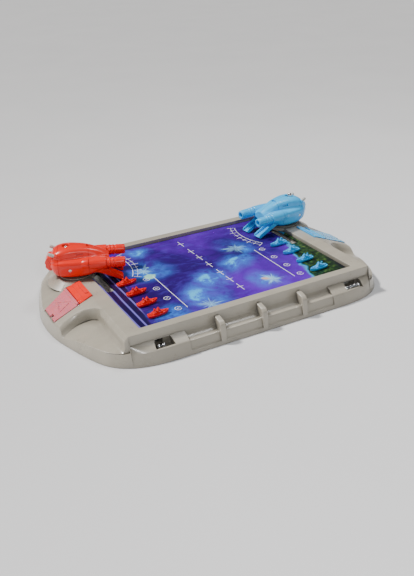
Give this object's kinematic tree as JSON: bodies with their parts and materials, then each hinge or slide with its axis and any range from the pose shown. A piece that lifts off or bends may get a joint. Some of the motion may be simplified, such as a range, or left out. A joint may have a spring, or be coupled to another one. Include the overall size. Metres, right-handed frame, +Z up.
{
  "type": "sea battle shooting game",
  "caption": "Two player sea battle tabletop game: a shallow case with a printed board, a turning twin ball gun at each end, ships to hit, ball windows and spare hatches.",
  "frame": {"origin": "centre of the base plane, on the table under the middle of the case", "axes": "+Z up; X along the long side, with the red player's gun at -X and the blue one at +X; the ball windows and scoops face -Y"},
  "size_m": [0.5, 0.306, 0.0887],
  "materials": {
    "frame_plastic": "satin moulded",
    "printed_board": "printed and coated sheet",
    "grey_plastic": "satin moulded",
    "red_plastic": "glossy moulded",
    "blue_plastic": "glossy moulded",
    "red_lid": "translucent moulded",
    "blue_lid": "translucent moulded",
    "steel": "polished steel"
  },
  "bodies": {
    "case": {"frame_shell": "frame_plastic", "base_cover": "frame_plastic", "playfield_board": "printed_board", "gutter_left": "grey_plastic", "gutter_right": "grey_plastic", "cover_screw_1": "steel", "cover_screw_2": "steel", "cover_screw_3": "steel", "cover_screw_4": "steel", "red_turret_seat": "frame_plastic", "red_pivot_post": "grey_plastic", "red_hatch_block": "red_plastic", "red_hatch_pin": "steel", "red_spare_ship": "red_plastic", "red_spare_balls": "steel", "blue_turret_seat": "frame_plastic", "blue_pivot_post": "grey_plastic", "blue_hatch_block": "blue_plastic", "blue_hatch_pin": "steel", "blue_spare_ship": "blue_plastic", "blue_spare_balls": "steel"},
    "red_gun": {"red_shell_left": "red_plastic", "red_shell_right": "red_plastic", "red_barrel_left": "red_plastic", "red_barrel_right": "red_plastic", "red_chutes": "red_plastic", "red_tail_block": "red_plastic", "red_spring_left": "steel", "red_spring_right": "steel", "red_screw_left": "steel", "red_screw_right": "steel"},
    "red_plunger_left_body": {"red_plunger_left": "grey_plastic"},
    "red_plunger_right_body": {"red_plunger_right": "grey_plastic"},
    "red_hopper_load": {"red_hopper_balls": "steel"},
    "red_lid": {"red_hatch_lid": "red_lid"},
    "red_ship_1_body": {"red_ship_1": "red_plastic"},
    "red_ship_2_body": {"red_ship_2": "red_plastic"},
    "red_ship_3_body": {"red_ship_3": "red_plastic"},
    "red_ship_4_body": {"red_ship_4": "red_plastic"},
    "blue_gun": {"blue_shell_left": "blue_plastic", "blue_shell_right": "blue_plastic", "blue_barrel_left": "blue_plastic", "blue_barrel_right": "blue_plastic", "blue_chutes": "blue_plastic", "blue_tail_block": "blue_plastic", "blue_spring_left": "steel", "blue_spring_right": "steel", "blue_screw_left": "steel", "blue_screw_right": "steel"},
    "blue_plunger_left_body": {"blue_plunger_left": "grey_plastic"},
    "blue_plunger_right_body": {"blue_plunger_right": "grey_plastic"},
    "blue_hopper_load": {"blue_hopper_balls": "steel"},
    "blue_lid": {"blue_hatch_lid": "blue_lid"},
    "blue_ship_1_body": {"blue_ship_1": "blue_plastic"},
    "blue_ship_2_body": {"blue_ship_2": "blue_plastic"},
    "blue_ship_3_body": {"blue_ship_3": "blue_plastic"},
    "blue_ship_4_body": {"blue_ship_4": "blue_plastic"},
    "window_load_left": {"window_balls_left": "steel"},
    "window_load_right": {"window_balls_right": "steel"}
  },
  "joints": [
    {"name": "red_gun_yaw", "type": "hinge", "parent": "case", "child": "red_gun", "pos_m": [-0.18, 0.07, 0.045], "axis": [0, 0, 1], "range_deg": [-9, 42]},
    {"name": "red_plunger_left_slide", "type": "slide", "parent": "red_gun", "child": "red_plunger_left_body", "axis": [0.8373, -0.3468, -0.4226], "range_m": [0, 0.008], "stiffness_N_per_m": 150, "deforming": ["red_spring_left"]},
    {"name": "red_plunger_right_slide", "type": "slide", "parent": "red_gun", "child": "red_plunger_right_body", "axis": [0.8373, -0.3468, -0.4226], "range_m": [0, 0.008], "stiffness_N_per_m": 150, "deforming": ["red_spring_right"]},
    {"name": "red_hopper_load_lift", "type": "slide", "parent": "red_gun", "child": "red_hopper_load", "axis": [0, 0, 1], "range_m": [0, 0.03]},
    {"name": "red_lid_hinge", "type": "hinge", "parent": "case", "child": "red_lid", "pos_m": [-0.2066, 0.0165, 0.03186], "axis": [0, 1, 0], "range_deg": [0, 95]},
    {"name": "red_ship_1_lift", "type": "slide", "parent": "case", "child": "red_ship_1_body", "axis": [0, 0, 1], "range_m": [0, 0.04]},
    {"name": "red_ship_2_lift", "type": "slide", "parent": "case", "child": "red_ship_2_body", "axis": [0, 0, 1], "range_m": [0, 0.04]},
    {"name": "red_ship_3_lift", "type": "slide", "parent": "case", "child": "red_ship_3_body", "axis": [0, 0, 1], "range_m": [0, 0.04]},
    {"name": "red_ship_4_lift", "type": "slide", "parent": "case", "child": "red_ship_4_body", "axis": [0, 0, 1], "range_m": [0, 0.04]},
    {"name": "blue_gun_yaw", "type": "hinge", "parent": "case", "child": "blue_gun", "pos_m": [0.18, 0.07, 0.045], "axis": [0, 0, 1], "range_deg": [-26, 25.5]},
    {"name": "blue_plunger_left_slide", "type": "slide", "parent": "blue_gun", "child": "blue_plunger_left_body", "axis": [-0.9013, -0.0947, -0.4226], "range_m": [0, 0.008], "stiffness_N_per_m": 150, "deforming": ["blue_spring_left"]},
    {"name": "blue_plunger_right_slide", "type": "slide", "parent": "blue_gun", "child": "blue_plunger_right_body", "axis": [-0.9013, -0.0947, -0.4226], "range_m": [0, 0.008], "stiffness_N_per_m": 150, "deforming": ["blue_spring_right"]},
    {"name": "blue_hopper_load_lift", "type": "slide", "parent": "blue_gun", "child": "blue_hopper_load", "axis": [0, 0, 1], "range_m": [0, 0.03]},
    {"name": "blue_lid_hinge", "type": "hinge", "parent": "case", "child": "blue_lid", "pos_m": [0.2066, 0.0165, 0.03186], "axis": [0, -1, 0], "range_deg": [0, 95]},
    {"name": "blue_ship_1_lift", "type": "slide", "parent": "case", "child": "blue_ship_1_body", "axis": [0, 0, 1], "range_m": [0, 0.04]},
    {"name": "blue_ship_2_lift", "type": "slide", "parent": "case", "child": "blue_ship_2_body", "axis": [0, 0, 1], "range_m": [0, 0.04]},
    {"name": "blue_ship_3_lift", "type": "slide", "parent": "case", "child": "blue_ship_3_body", "axis": [0, 0, 1], "range_m": [0, 0.04]},
    {"name": "blue_ship_4_lift", "type": "slide", "parent": "case", "child": "blue_ship_4_body", "axis": [0, 0, 1], "range_m": [0, 0.04]},
    {"name": "window_load_left_lift", "type": "slide", "parent": "case", "child": "window_load_left", "axis": [0, 0, 1], "range_m": [0, 0.03]},
    {"name": "window_load_right_lift", "type": "slide", "parent": "case", "child": "window_load_right", "axis": [0, 0, 1], "range_m": [0, 0.03]}
  ]
}
